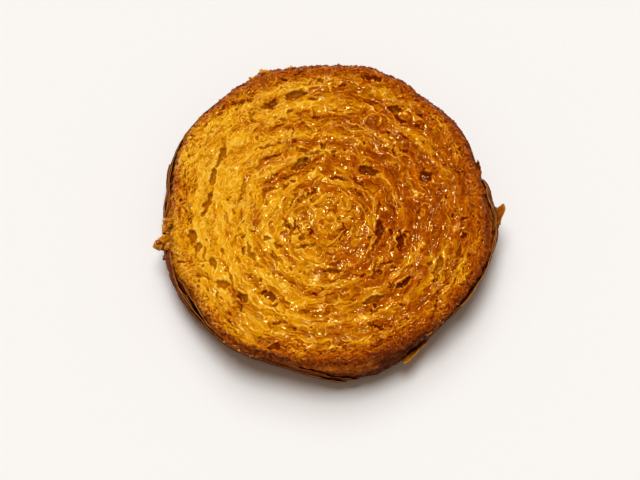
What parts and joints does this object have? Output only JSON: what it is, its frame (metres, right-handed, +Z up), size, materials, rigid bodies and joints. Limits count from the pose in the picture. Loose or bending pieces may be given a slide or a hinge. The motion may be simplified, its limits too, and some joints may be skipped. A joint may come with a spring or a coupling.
{
  "type": "caramelized croissant disc",
  "caption": "Thick round slice of rolled croissant dough, caramelized on its cut face, with a flaky brown crust round its side.",
  "frame": {"origin": "middle of the flat base, on the surface that the disc lies on", "axes": "+Z up, out of the cut face; -Y towards the viewer of the picture; +X to the right"},
  "size_m": [0.1038, 0.1038, 0.0159],
  "materials": {
    "caramelized_pastry": "browned crumb with a thin glossy caramel glaze"
  },
  "bodies": {
    "root": {"croissant_disc": "caramelized_pastry"}
  },
  "joints": []
}
